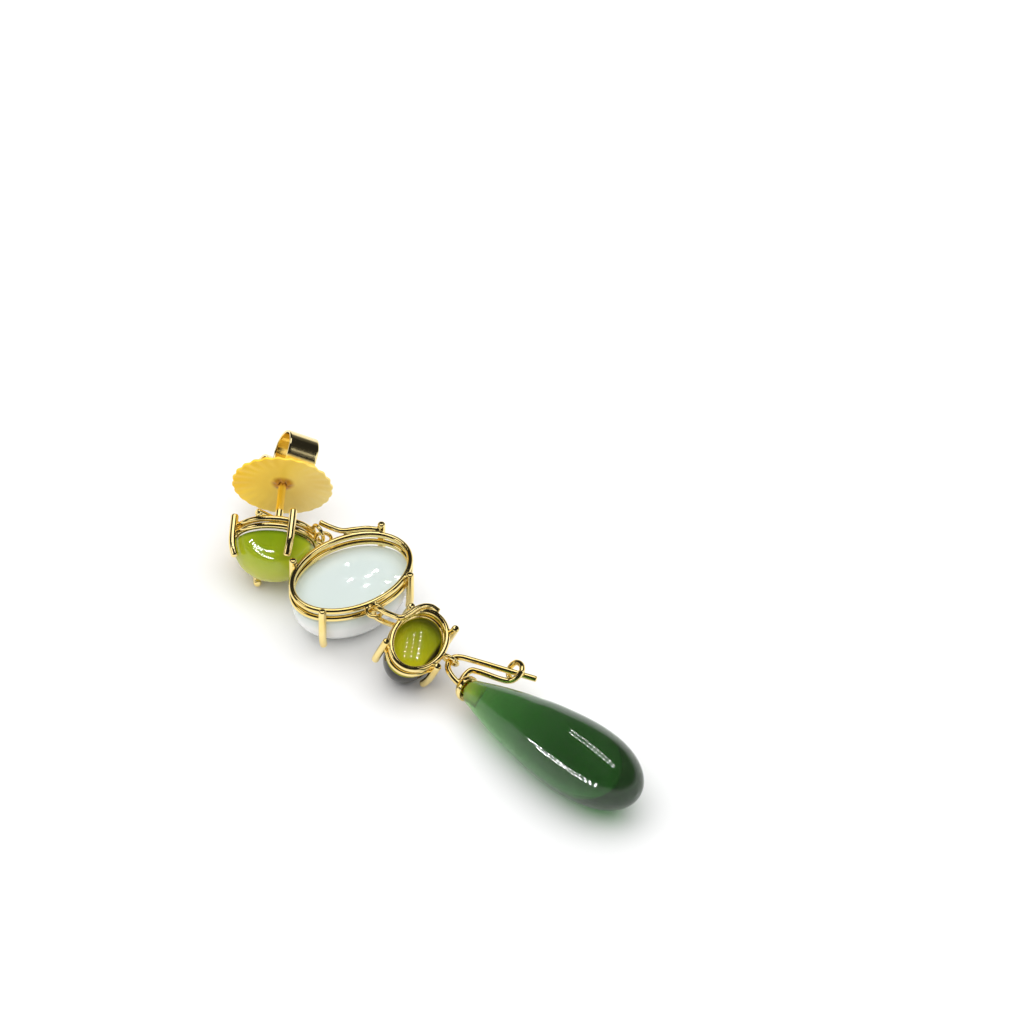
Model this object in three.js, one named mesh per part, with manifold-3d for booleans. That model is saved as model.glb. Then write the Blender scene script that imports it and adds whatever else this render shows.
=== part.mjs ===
// Drop earring with three oval cabochons and a clipped-on jade drop, lying with its flat backs up.
// Lengths are in millimetres, angles in degrees and +Z is up.

import * as THREE from 'three';
import { mergeVertices } from 'three/addons/utils/BufferGeometryUtils.js';
import Module from 'manifold-3d';

const wasm = await Module();
wasm.setup();

// Wires and clearances
const ringWire = 0.68;        // wire of the oval setting rings
const prongWire = 0.85;       // wire of the prongs and of the ear post
const scrollWire = 0.62;      // wire of the curved lines laid on the back rings
const eyeletWire = 0.44;      // wire of the small soldered eyelets
const clipWire = 0.66;        // wire of the clip
const ringInset = 0.05;       // ring centre line inside the stone's edge
const stoneGap = 0.2;         // clearance of a stone in its setting
const solder = 0.1;           // depth to which soldered wires run together

// Stones: length, width, height of the dome and fullness of its curve
const topStone = { length: 8.6, width: 6.7, height: 3.9, fullness: 2.0 };
const middleStone = { length: 13.8, width: 9.8, height: 4.8, fullness: 2.7 };
const lowerStone = { length: 7.6, width: 5.6, height: 4.5, fullness: 2.2 };

// Between the two rings of each setting
const topSpacing = 0.85;
const middleSpacing = 1.05;
const lowerSpacing = 1.05;

// Ear post and its friction back
const postLength = 11.2;
const clutchGap = 4.75;       // from the foot of the post to the clutch: the ear lobe's place
const clutch = {
  diameter: 10.7, thickness: 0.35, scallops: 24, scallopDepth: 0.16, bore: 1.35,
  sheet: 0.28, scrollWidth: 3.4, scrollSize: 4.4, slot: 1.2, turn: 27,
};

// Jade drop and its cap
const drop = { length: 24.4, diameter: 8.35, bore: 1.4, boreDepth: 2.4 };
const cap = { diameter: 2.8, height: 0.85, lip: 0.14, wall: 0.22, gap: 0.22 };
const peg = { diameter: 0.9, endGap: 0.4 };

// Clip: how far its pin reaches past the cap, the height of its loop and the depth of its keeper's curl
const clip = { reach: 7.7, height: 3.12, depth: 0.8 };

// Small soldered eyelets: radius of the wire's centre line
const middleEyeletRadius = 0.84;
const topEyeletRadius = 0.92;
const clipEyeletRadius = 0.86;

// How the pieces lie: headings are turned from +X towards +Y
const middleHeading = 37.5;
const topLie = { yaw: 5.2, rise: 12 };
const lowerNormal = new THREE.Vector3(0.3, -0.28, 0.912).normalize();
const lowerHeading = 62;
const dropLie = { heading: -44.3, rise: 4.5 };
const clipRise = 23.5;

// Facets
const wireSides = 6;
const ovalSteps = 36;
const eyeletSteps = 14;
const stoneSides = 36;
const dropSides = 32;

const gold = { color: 0xe6c05a, roughness: 0.18, metalness: 1 };
const satinGold = { color: 0xf0c23c, roughness: 0.38, metalness: 1 };
const peridot = { color: 0xa8c22a, roughness: 0.08, metalness: 0 };
const paleStone = { color: 0xdbe4dc, roughness: 0.12, metalness: 0 };
const oliveStone = { color: 0x3c3a12, roughness: 0.08, metalness: 0 };
const jade = { color: 0x1f4a20, roughness: 0.1, metalness: 0 };

const vec = (x, y, z) => new THREE.Vector3(x, y, z);
const rad = THREE.MathUtils.degToRad;

// Joining and cutting

function solid(geometry) {
  const bare = geometry.index ? geometry.toNonIndexed() : geometry.clone();
  bare.deleteAttribute('normal');
  bare.deleteAttribute('uv');
  const merged = mergeVertices(bare, 1e-5);
  return new wasm.Manifold(new wasm.Mesh({
    numProp: 3,
    vertProperties: new Float32Array(merged.attributes.position.array),
    triVerts: new Uint32Array(merged.index.array),
  }));
}

function geometryOf(body) {
  const mesh = body.getMesh();
  const geometry = new THREE.BufferGeometry();
  geometry.setAttribute('position', new THREE.BufferAttribute(mesh.vertProperties.slice(), 3));
  geometry.setIndex(new THREE.BufferAttribute(mesh.triVerts.slice(), 1));
  geometry.computeVertexNormals();
  return geometry;
}

// The closed form with its faces turned out, whichever way its outline ran
function outward(geometry) {
  const body = solid(geometry);
  if (body.volume() > 0) return body;
  const turned = geometry.index ? geometry.toNonIndexed() : geometry.clone();
  const place = turned.attributes.position;
  for (let corner = 0; corner < place.count; corner += 3) {
    const second = vec().fromBufferAttribute(place, corner + 1);
    const third = vec().fromBufferAttribute(place, corner + 2);
    place.setXYZ(corner + 1, third.x, third.y, third.z);
    place.setXYZ(corner + 2, second.x, second.y, second.z);
  }
  return solid(turned);
}

const fuse = (forms) => geometryOf(forms.map(outward).reduce((whole, form) => whole.add(form)));

// Wires

function wire(points, diameter, steps, sides = wireSides) {
  const section = new THREE.Shape();
  for (let side = 0; side < sides; side += 1) {
    const angle = (2 * Math.PI * side) / sides;
    const corner = [diameter / 2 * Math.cos(angle), diameter / 2 * Math.sin(angle)];
    if (side === 0) section.moveTo(...corner);
    else section.lineTo(...corner);
  }
  const path = new THREE.CatmullRomCurve3(points, false, 'centripetal');
  return new THREE.ExtrudeGeometry(section, { steps, extrudePath: path, bevelEnabled: false });
}

// A closed oval wire round the centre, with half axes along the unit vectors across and along
function loop(centre, across, along, halfAcross, halfAlong, diameter, steps) {
  const normal = across.clone().cross(along);
  const positions = [];
  const index = [];
  for (let step = 0; step < steps; step += 1) {
    const angle = (2 * Math.PI * step) / steps;
    const out = across.clone().multiplyScalar(Math.cos(angle) / halfAcross)
      .addScaledVector(along, Math.sin(angle) / halfAlong).normalize();
    const middle = centre.clone().addScaledVector(across, halfAcross * Math.cos(angle))
      .addScaledVector(along, halfAlong * Math.sin(angle));
    for (let side = 0; side < wireSides; side += 1) {
      const turn = (2 * Math.PI * side) / wireSides;
      const corner = middle.clone().addScaledVector(out, diameter / 2 * Math.cos(turn))
        .addScaledVector(normal, diameter / 2 * Math.sin(turn));
      positions.push(corner.x, corner.y, corner.z);
      const nextStep = (step + 1) % steps;
      const nextSide = (side + 1) % wireSides;
      const a = step * wireSides + side;
      const b = nextStep * wireSides + side;
      const c = nextStep * wireSides + nextSide;
      const d = step * wireSides + nextSide;
      index.push(a, b, c, a, c, d);
    }
  }
  const geometry = new THREE.BufferGeometry();
  geometry.setAttribute('position', new THREE.Float32BufferAttribute(positions, 3));
  geometry.setIndex(index);
  return geometry;
}

function eyelet(centre, across, along, radius) {
  return loop(centre, across, along, radius, radius, eyeletWire, eyeletSteps);
}

// Stones: flat back at z 0, dome towards -z

const domeWidth = (stone, depth) => (
  Math.max(0, 1 - (depth / stone.height) ** stone.fullness) ** (1 / stone.fullness)
);

function cabochon(stone) {
  const rows = 8;
  const edge = 0.96;
  const crown = 0.2;
  const profile = [new THREE.Vector2(0, 0), new THREE.Vector2(edge, 0)];
  for (let row = 0; row < rows; row += 1) {
    const depth = stone.height * Math.sin((Math.PI / 2) * ((row + 0.4) / rows));
    profile.push(new THREE.Vector2(domeWidth(stone, depth), depth));
  }
  profile.push(new THREE.Vector2(crown, stone.height), new THREE.Vector2(0, stone.height));
  const geometry = new THREE.LatheGeometry(profile, stoneSides);
  geometry.rotateX(-Math.PI / 2);
  geometry.scale(stone.length / 2, stone.width / 2, 1);
  return geometryOf(outward(geometry));
}

// Settings: z 0 is the plane of the stone's flat back, +z is behind the stone

const frontRise = ringWire / 2 + stoneGap;
const topBack = frontRise + topSpacing;
const middleBack = frontRise + middleSpacing;
const lowerBack = frontRise + lowerSpacing;
const prongOut = ringWire / 2 + prongWire / 2 - solder;

function ringSize(stone) {
  return { a: stone.length / 2 - ringInset, b: stone.width / 2 - ringInset };
}

// A point at an angle round the setting, out from the ring's centre line and risen behind the stone
function ringPoint(stone, angle, out, rise) {
  const { a, b } = ringSize(stone);
  const turn = rad(angle);
  const normal = new THREE.Vector2(Math.cos(turn) / a, Math.sin(turn) / b).normalize();
  return vec(a * Math.cos(turn) + out * normal.x, b * Math.sin(turn) + out * normal.y, rise);
}

function outwardAt(stone, angle) {
  return ringPoint(stone, angle, 1, 0).sub(ringPoint(stone, angle, 0, 0));
}

// The prong stands behind the back ring by its stub, a share of its wire, and follows the dome down
// to its reach, a share of the stone's height; hug is how closely it follows
function prong(stone, backRise, { angle, stub, reach, hug }) {
  const points = [
    ringPoint(stone, angle, prongOut, backRise + stub * prongWire),
    ringPoint(stone, angle, prongOut, frontRise),
  ];
  for (const share of [0.35, 0.7, 1]) {
    const depth = reach * stone.height * share;
    const shrink = (1 - domeWidth(stone, depth)) * hug * stone.width / 2;
    points.push(ringPoint(stone, angle, prongOut - shrink, -depth));
  }
  return wire(points, prongWire, 7);
}

function settingParts(stone, backRise, prongs) {
  const { a, b } = ringSize(stone);
  const rings = [frontRise, backRise].map((rise) => (
    loop(vec(0, 0, rise), vec(1, 0, 0), vec(0, 1, 0), a, b, ringWire, ovalSteps)
  ));
  return [...rings, ...prongs.map((row) => prong(stone, backRise, row))];
}

// The line of a curved wire over a setting's back ring: its rows give an angle round the ring and,
// as shares of the curved wire, how far out from the ring and how far above it the line lies
function scrollLine(stone, backRise, rows) {
  return rows.map(({ angle, out, rise }) => (
    ringPoint(stone, angle, out * scrollWire, backRise + rise * scrollWire)
  ));
}

// Frames

function frame(along, across, up, origin) {
  return new THREE.Matrix4().makeBasis(along, across, up).setPosition(origin);
}

const heading = (angle) => vec(Math.cos(rad(angle)), Math.sin(rad(angle)), 0);
const inFrame = (matrix, point) => point.clone().applyMatrix4(matrix);
const upwards = vec(0, 0, 1);

// Middle setting, the root of the chain: flat back level, dome down on the surface

const middleProngs = [
  { angle: 32, stub: 1, reach: 0.54, hug: 0.8 },
  { angle: 124, stub: 0.65, reach: 0.02, hug: 0.8 },
  { angle: 214, stub: 0.59, reach: 0.667, hug: 0.8 },
  { angle: 306, stub: 0.7, reach: 0.5, hug: 0.4 },
];
const middleScroll = [
  { angle: 34, out: 0.68, rise: 0.48 },
  { angle: 46, out: 0.65, rise: 0.73 },
  { angle: 58, out: 0.68, rise: 0.73 },
  { angle: 68, out: 1.13, rise: 0.65 },
  { angle: 75, out: 2.9, rise: 0.56 },
  { angle: 79, out: 4.44, rise: 0.65 },
];
const topHinge = { angle: 83.7, rise: middleBack - 0.28 * ringWire };
const lowerHinge = { angle: 260, rise: middleBack - 0.22 * ringWire };
const hingeOut = ringWire / 2 + middleEyeletRadius - solder;

const middleAcross = heading(middleHeading + 90);
const middleOrigin = vec(0, 0, middleStone.height);
const middleFrame = frame(heading(middleHeading), middleAcross, upwards, middleOrigin);

function middleEyelet({ angle, rise }) {
  const centre = ringPoint(middleStone, angle, hingeOut, rise);
  return eyelet(centre, vec(1, 0, 0), vec(0, 1, 0), middleEyeletRadius);
}

function middleSetting() {
  return fuse([
    ...settingParts(middleStone, middleBack, middleProngs),
    wire(scrollLine(middleStone, middleBack, middleScroll), scrollWire, 14),
    middleEyelet(topHinge),
    middleEyelet(lowerHinge),
  ]);
}

// Top setting: its eyelet hangs in the middle setting's upper eyelet, and its post points away

const topHingePoint = inFrame(middleFrame,
  ringPoint(middleStone, topHinge.angle, hingeOut, topHinge.rise));
const topHingeOut = outwardAt(middleStone, topHinge.angle).transformDirection(middleFrame);
const topProngs = [
  { angle: 27, stub: 1, reach: 0.59, hug: 0.8 },
  { angle: 113, stub: 1, reach: 0.69, hug: 0.8 },
  { angle: 207, stub: 0.7, reach: 0.31, hug: 0.8 },
  { angle: 293, stub: 0.7, reach: 0.72, hug: 0.8 },
];
// Where the top eyelet is soldered: its place round the top ring and, from the middle setting's eyelet,
// how far out and down that place lies
const topJointAngle = 160;
const topJoint = { out: 2.1 * topEyeletRadius, down: 0.74 * topEyeletRadius };

const postAxis = vec(
  Math.cos(rad(topLie.rise)) * Math.sin(rad(topLie.yaw)),
  Math.cos(rad(topLie.rise)) * Math.cos(rad(topLie.yaw)),
  Math.sin(rad(topLie.rise)),
);
const topAlong = vec(-Math.cos(rad(topLie.yaw)), Math.sin(rad(topLie.yaw)), 0);
const topAcross = postAxis.clone().cross(topAlong);
const topTurn = frame(topAlong, topAcross, postAxis, vec(0, 0, 0));
const topOrigin = topHingePoint.clone().addScaledVector(topHingeOut, topJoint.out)
  .addScaledVector(upwards, -topJoint.down)
  .sub(inFrame(topTurn, ringPoint(topStone, topJointAngle, 0, topBack)));
const topFrame = topTurn.clone().setPosition(topOrigin);

const bridgeEnds = [66, 205];
const bridgeOver = 0.36 * prongWire;
const bridgeRise = topBack + ringWire / 2 + prongWire / 2 - solder;
const bridge = bridgeEnds.map((angle) => ringPoint(topStone, angle, bridgeOver, bridgeRise));
const postShare = 0.35;                   // place of the post along the bridge
const postFoot = bridge[0].clone().lerp(bridge[1], postShare);

function topSetting() {
  const toLocal = topFrame.clone().invert();
  const centre = topHingePoint.clone().addScaledVector(topHingeOut, topEyeletRadius);
  const hanging = eyelet(
    centre.applyMatrix4(toLocal),
    topHingeOut.clone().transformDirection(toLocal),
    upwards.clone().transformDirection(toLocal),
    topEyeletRadius,
  );
  const post = new THREE.CylinderGeometry(prongWire / 2, prongWire / 2, postLength, 12);
  post.rotateX(Math.PI / 2);
  post.translate(postFoot.x, postFoot.y, postFoot.z + postLength / 2);
  const rings = settingParts(topStone, topBack, topProngs);
  return fuse([...rings, wire(bridge, prongWire, 4), post, hanging]);
}

// Clutch: scalloped plate at z 0, two scrolls of its sheet rolled up behind it

function scallopedPlate() {
  const outline = new THREE.Shape();
  const corners = clutch.scallops * 4;
  for (let corner = 0; corner < corners; corner += 1) {
    const turn = (2 * Math.PI * corner) / corners;
    const wave = 0.5 - 0.5 * Math.cos(turn * clutch.scallops);
    const radius = clutch.diameter / 2 - clutch.scallopDepth * wave;
    const place = [radius * Math.cos(turn), radius * Math.sin(turn)];
    if (corner === 0) outline.moveTo(...place);
    else outline.lineTo(...place);
  }
  const bore = new THREE.Path();
  bore.absarc(0, 0, clutch.bore / 2, 0, 2 * Math.PI, true);
  outline.holes.push(bore);
  return new THREE.ExtrudeGeometry(outline, {
    depth: clutch.thickness, bevelEnabled: false, curveSegments: 16,
  });
}

// Centre line of one scroll, from the plate's edge over the back to beside the post
function bandLine() {
  const size = clutch.scrollSize / 2 - clutch.sheet / 2;
  const middle = clutch.slot / 2 + clutch.sheet / 2 + size;
  const height = clutch.thickness / 2 + size;
  const round = [-35, 0, 40, 80, 120, 160, 200, 235].map((angle) => new THREE.Vector2(
    middle + size * Math.cos(rad(angle)), height + size * Math.sin(rad(angle)),
  ));
  const edge = new THREE.Vector2(middle + size * 0.55, clutch.thickness / 2);
  return new THREE.SplineCurve([edge, ...round]).getPoints(26);
}

function scrollBand(side) {
  const line = bandLine();
  const thick = clutch.sheet / 2;
  const offset = (sign) => line.map((point, place) => {
    const before = line[Math.max(0, place - 1)];
    const after = line[Math.min(line.length - 1, place + 1)];
    const step = after.clone().sub(before).normalize();
    return new THREE.Vector2(point.x - sign * step.y * thick, point.y + sign * step.x * thick);
  });
  const outline = new THREE.Shape([...offset(1), ...offset(-1).reverse()]);
  const band = new THREE.ExtrudeGeometry(outline, { depth: clutch.scrollWidth, bevelEnabled: false });
  band.translate(0, 0, -clutch.scrollWidth / 2);
  band.rotateY(Math.PI / 2);
  band.rotateX(Math.PI / 2);
  if (side < 0) band.rotateZ(Math.PI);
  return band;
}

function earClutch() {
  return fuse([scallopedPlate(), scrollBand(1), scrollBand(-1)]);
}

const clutchFrame = topFrame.clone()
  .multiply(new THREE.Matrix4().makeTranslation(postFoot.x, postFoot.y, postFoot.z + clutchGap))
  .multiply(new THREE.Matrix4().makeRotationZ(rad(clutch.turn)));

// Lower setting: its long scroll runs out to a hook through the middle setting's lower eyelet

const lowerProngs = [
  { angle: 52, stub: 0.35, reach: 0.355, hug: 0.8 },
  { angle: 131, stub: 0.59, reach: 0.44, hug: 0.3 },
  { angle: 248, stub: 0.59, reach: 0.53, hug: 0.8 },
  { angle: 318, stub: 1.06, reach: 0.27, hug: 0.8 },
];
const lowerScroll = [
  { angle: 4, out: 0.73, rise: 0.32 },
  { angle: 17, out: 0.81, rise: 0.56 },
  { angle: 30, out: 0.68, rise: 0.68 },
  { angle: 46, out: 0.32, rise: 0.81 },
  { angle: 66, out: 0, rise: 0.81 },
  { angle: 80, out: 0.4, rise: 0.73 },
];
// The hook beyond the scroll: places from the eyelet that it hangs in, in the lower setting's frame,
// as shares of that eyelet's radius
const lowerHook = [
  { along: -0.36, across: -1.43, up: 1.9 },
  { along: -0.12, across: -0.36, up: 1.19 },
  { along: 0, across: 0.095, up: 0.12 },
  { along: 0, across: -0.36, up: -0.95 },
  { along: 0.06, across: -1.55, up: -0.89 },
];
const hookRoot = { angle: 84, out: 0.16 * scrollWire, rise: frontRise };
// The middle setting's eyelet, in the lower setting's frame
const lowerHang = vec(0.132 * lowerStone.length, lowerStone.width, -0.7 * ringWire);

const lowerHingePoint = inFrame(middleFrame,
  ringPoint(middleStone, lowerHinge.angle, hingeOut, lowerHinge.rise));
const lowerAlong = heading(lowerHeading).projectOnPlane(lowerNormal).normalize();
const lowerAcross = lowerNormal.clone().cross(lowerAlong);
const lowerTurn = frame(lowerAlong, lowerAcross, lowerNormal, vec(0, 0, 0));
const lowerFrame = lowerTurn.clone()
  .setPosition(lowerHingePoint.clone().sub(inFrame(lowerTurn, lowerHang)));

const clipHinge = { angle: 276, rise: frontRise + 1.1 * ringWire };
const clipHingeOut = ringWire / 2 + clipEyeletRadius - solder;
const clipHingeLocal = ringPoint(lowerStone, clipHinge.angle, clipHingeOut, clipHinge.rise);
const clipHingePoint = inFrame(lowerFrame, clipHingeLocal);

// Clip: a safety-pin of springy wire in one plane, rising a little away from the drop

const clipAlong = vec(1, 0, 0);
const clipAcross = vec(0, Math.cos(rad(clipRise)), Math.sin(rad(clipRise)));
const clipUp = clipAlong.clone().cross(clipAcross);
// Along the clip as shares of its reach, across it of its height and out of its plane of its depth
const clipPin = [
  { x: -0.039, y: 0.058, z: 0 }, { x: -0.13, y: 0.314, z: 0 }, { x: -0.188, y: 0.6, z: 0 },
  { x: -0.175, y: 0.84, z: 0 }, { x: -0.112, y: 0.984, z: 0 }, { x: -0.013, y: 1, z: 0 },
  { x: 0.097, y: 0.93, z: 0 }, { x: 0.571, y: 0.564, z: 0 }, { x: 1, y: 0.228, z: 0 },
];
const clipKeeper = [
  { x: -0.026, y: 0.064, z: 0 }, { x: 0.039, y: 0.343, z: 0 }, { x: 0.123, y: 0.529, z: 0 },
  { x: 0.221, y: 0.49, z: 0 }, { x: 0.636, y: 0.144, z: 0.125 }, { x: 0.74, y: 0.199, z: 0.69 },
  { x: 0.812, y: 0.4, z: 1 }, { x: 0.805, y: 0.673, z: 0.625 }, { x: 0.734, y: 0.817, z: 0 },
  { x: 0.662, y: 0.721, z: -0.625 }, { x: 0.636, y: 0.513, z: -1 }, { x: 0.649, y: 0.353, z: -1 },
];
const clipPlace = ({ x, y, z }) => vec(x * clip.reach, y * clip.height, z * clip.depth);

// Where the pin runs through the lower setting's eyelet, and which way it runs there
const clipThrough = clipPlace({ x: -0.156, y: 0.904, z: 0 });
const clipTurn = frame(clipAlong, clipAcross, clipUp, vec(0, 0, 0));
const pinDirection = vec(0.5, 0.86, 0).transformDirection(clipTurn);
const capEnd = clipHingePoint.clone().sub(inFrame(clipTurn, clipThrough));
const clipFrame = clipTurn.clone().setPosition(capEnd);

function lowerSetting() {
  const toLocal = lowerFrame.clone().invert();
  const line = [
    ...scrollLine(lowerStone, lowerBack, lowerScroll),
    ...lowerHook.map(({ along, across, up }) => (
      lowerHang.clone().addScaledVector(vec(along, across, up), middleEyeletRadius)
    )),
    ringPoint(lowerStone, hookRoot.angle, hookRoot.out, hookRoot.rise),
  ];
  const out = outwardAt(lowerStone, clipHinge.angle);
  const pin = pinDirection.clone().transformDirection(toLocal);
  return fuse([
    ...settingParts(lowerStone, lowerBack, lowerProngs),
    wire(line, scrollWire, 34),
    eyelet(clipHingeLocal, out, pin.cross(out).normalize(), clipEyeletRadius),
  ]);
}

// Jade drop and cap: the drop's axis runs from the cap towards its round end

const dropAxis = vec(
  Math.cos(rad(dropLie.rise)) * Math.cos(rad(dropLie.heading)),
  Math.cos(rad(dropLie.rise)) * Math.sin(rad(dropLie.heading)),
  Math.sin(rad(dropLie.rise)),
);
const dropTurn = new THREE.Matrix4().makeRotationFromQuaternion(
  new THREE.Quaternion().setFromUnitVectors(vec(0, 1, 0), dropAxis),
);
const dropFrame = dropTurn.clone()
  .setPosition(capEnd.clone().addScaledVector(dropAxis, cap.height + cap.gap));

// Width of the drop at each share of its length, as a share of its diameter
const dropSections = [
  { at: 0.0, width: 0.22 }, { at: 0.008, width: 0.27 }, { at: 0.02, width: 0.315 },
  { at: 0.055, width: 0.375 }, { at: 0.1, width: 0.455 }, { at: 0.18, width: 0.58 },
  { at: 0.26, width: 0.69 }, { at: 0.34, width: 0.78 }, { at: 0.42, width: 0.87 },
  { at: 0.5, width: 0.93 }, { at: 0.58, width: 0.977 }, { at: 0.66, width: 1.0 },
  { at: 0.74, width: 0.985 }, { at: 0.81, width: 0.93 }, { at: 0.87, width: 0.83 },
  { at: 0.92, width: 0.69 }, { at: 0.96, width: 0.51 }, { at: 0.985, width: 0.31 },
];

function jadeDrop() {
  const profile = [
    new THREE.Vector2(0, drop.boreDepth),
    new THREE.Vector2(drop.bore / 2, drop.boreDepth),
    new THREE.Vector2(drop.bore / 2, 0),
    ...dropSections.map(({ at, width }) => (
      new THREE.Vector2(width * drop.diameter / 2, at * drop.length)
    )),
    new THREE.Vector2(0, drop.length),
  ];
  return geometryOf(outward(new THREE.LatheGeometry(profile, dropSides, Math.PI / dropSides)));
}

function dropClip() {
  const toLocal = clipFrame.clone().invert().multiply(dropTurn.clone().setPosition(capEnd));
  const radius = cap.diameter / 2;
  const cup = new THREE.LatheGeometry([
    new THREE.Vector2(0, cap.height * -0.12), new THREE.Vector2(radius * 0.55, cap.height * -0.06),
    new THREE.Vector2(radius * 0.9, cap.height * 0.4), new THREE.Vector2(radius, cap.height),
    new THREE.Vector2(radius, cap.height + cap.lip),
    new THREE.Vector2(radius - cap.wall, cap.height + cap.lip),
    new THREE.Vector2(radius - cap.wall, cap.height), new THREE.Vector2(0, cap.height),
  ], 20);
  const pegLength = cap.gap + drop.boreDepth - peg.endGap + solder;
  const rod = new THREE.CylinderGeometry(peg.diameter / 2, peg.diameter / 2, pegLength, 12);
  rod.translate(0, cap.height - solder + pegLength / 2, 0);
  for (const piece of [cup, rod]) piece.applyMatrix4(toLocal);
  const wires = [
    wire(clipPin.map(clipPlace), clipWire, 30),
    wire(clipKeeper.map(clipPlace), clipWire, 34),
  ];
  return fuse([...wires, cup, rod]);
}

// The assembly: each piece in its own lying frame

function piece(name, geometry, matrix, look) {
  const mesh = new THREE.Mesh(geometry, new THREE.MeshStandardMaterial(look));
  mesh.name = name;
  mesh.applyMatrix4(matrix);
  return mesh;
}

const lying = new THREE.Group();
lying.add(
  piece('middle_setting', middleSetting(), middleFrame, gold),
  piece('middle_stone', cabochon(middleStone), middleFrame, paleStone),
  piece('top_setting', topSetting(), topFrame, gold),
  piece('top_stone', cabochon(topStone), topFrame, peridot),
  piece('ear_clutch', earClutch(), clutchFrame, satinGold),
  piece('lower_setting', lowerSetting(), lowerFrame, gold),
  piece('lower_stone', cabochon(lowerStone), lowerFrame, oliveStone),
  piece('drop_clip', dropClip(), clipFrame, gold),
  piece('jade_drop', jadeDrop(), dropFrame, jade),
);

// The part's frame: +X along the drop, origin under the middle of the whole
lying.rotation.z = rad(-dropLie.heading);
const earring = new THREE.Group();
earring.add(lying);
earring.updateMatrixWorld(true);
const box = new THREE.Box3().setFromObject(lying, true);
earring.position.set(-(box.min.x + box.max.x) / 2, -(box.min.y + box.max.y) / 2, -box.min.z);
earring.updateMatrixWorld(true);

export default earring;
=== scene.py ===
# Looks of the drop earring: every CAD node is replaced by a smooth piece with its own finish.
# Shapes are worked out in millimetres in the lying chain's frame and carried into the row frame.

import math

import bmesh
import bpy
from mathutils import Matrix, Vector


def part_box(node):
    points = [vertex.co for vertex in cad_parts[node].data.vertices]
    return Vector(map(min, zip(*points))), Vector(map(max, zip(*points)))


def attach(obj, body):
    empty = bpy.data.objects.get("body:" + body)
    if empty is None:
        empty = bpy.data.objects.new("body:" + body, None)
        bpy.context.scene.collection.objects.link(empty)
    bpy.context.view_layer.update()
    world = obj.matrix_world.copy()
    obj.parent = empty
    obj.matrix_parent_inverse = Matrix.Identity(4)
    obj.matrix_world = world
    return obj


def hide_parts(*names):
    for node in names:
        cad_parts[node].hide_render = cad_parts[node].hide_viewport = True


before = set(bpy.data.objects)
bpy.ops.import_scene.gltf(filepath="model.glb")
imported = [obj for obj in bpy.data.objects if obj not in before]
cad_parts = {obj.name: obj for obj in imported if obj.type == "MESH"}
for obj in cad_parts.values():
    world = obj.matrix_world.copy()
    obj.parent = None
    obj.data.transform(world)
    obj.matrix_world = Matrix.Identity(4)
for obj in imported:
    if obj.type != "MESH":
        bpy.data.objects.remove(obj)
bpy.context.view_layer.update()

MM = 0.001

# Camera: where it stands and what it shows, in degrees, metres and the chain's millimetres
CAMERA_AZIMUTH = 44.3
CAMERA_ELEVATION = 45.4
CAMERA_DISTANCE = 2.5
CAMERA_WIDTH = 0.1078
CAMERA_AIM = Vector((16.85, 15.23, 0))

# How far the backs of the stones bulge, where the back ends as a share of the half width, and its edge
MIDDLE_BULGE = 0.35
TOP_BULGE = 0.05
LOWER_BULGE = 0.55
BACK_SHARE = 0.95
GIRDLE = 0.18

# Wires and clearances
RING_WIRE = 0.68
PRONG_WIRE = 0.85
SCROLL_WIRE = 0.62
EYELET_WIRE = 0.44
CLIP_WIRE = 0.66
RING_INSET = 0.05
STONE_GAP = 0.2
SOLDER = 0.1

# Stones: length, width, height of the dome and fullness of its curve
TOP_STONE = {"length": 8.6, "width": 6.7, "height": 3.9, "fullness": 2.0}
MIDDLE_STONE = {"length": 13.8, "width": 9.8, "height": 4.8, "fullness": 2.7}
LOWER_STONE = {"length": 7.6, "width": 5.6, "height": 4.5, "fullness": 2.2}

TOP_SPACING = 0.85
MIDDLE_SPACING = 1.05
LOWER_SPACING = 1.05

POST_LENGTH = 11.2
CLUTCH_GAP = 4.75
CLUTCH = {
    "diameter": 10.7, "thickness": 0.35, "scallops": 24, "scallop_depth": 0.16, "bore": 1.35,
    "sheet": 0.28, "scroll_width": 3.4, "scroll_size": 4.4, "slot": 1.2, "turn": 27,
}
# The plate's dish, the flutes towards its edge and the star round the post: heights and shares of its radius
PLATE = {
    "dish": 0.42, "sink": 0.3, "flute": 0.04, "flute_from": 0.55,
    "star": 0.55, "star_wave": 0.3, "star_points": 5, "star_reach": 0.3,
    "thin_from": 0.96, "thinning": 0.35, "bore_inset": 0.2,
}
SHEET_BEVEL = 0.09
DROP = {"length": 24.4, "diameter": 8.35, "bore": 1.4, "bore_depth": 2.4}
CAP = {"diameter": 2.8, "height": 0.85, "lip": 0.14, "wall": 0.22, "gap": 0.22}
PEG = {"diameter": 0.9, "end_gap": 0.4}
CLIP = {"reach": 7.7, "height": 3.12, "depth": 0.8}

MIDDLE_EYELET = 0.84
TOP_EYELET = 0.92
CLIP_EYELET = 0.86

# Grain of the mesh that runs the wires of each piece together
MIDDLE_GRAIN = 0.062
TOP_GRAIN = 0.058
LOWER_GRAIN = 0.055
CLIP_GRAIN = 0.05
CLUTCH_GRAIN = 0.066

# How much of a wire's end is rounded over, as a share of its radius
WIRE_END = 0.35
PRONG_END = 0.55
POST_END = 0.3
CLIP_END = 0.4

# How the pieces lie, in degrees turned from +X towards +Y
MIDDLE_HEADING = 37.5
TOP_YAW = 5.2
TOP_RISE = 12
LOWER_NORMAL = Vector((0.3, -0.28, 0.912)).normalized()
LOWER_HEADING = 62
DROP_HEADING = -44.3
DROP_RISE = 4.5
CLIP_RISE = 23.5

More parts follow.
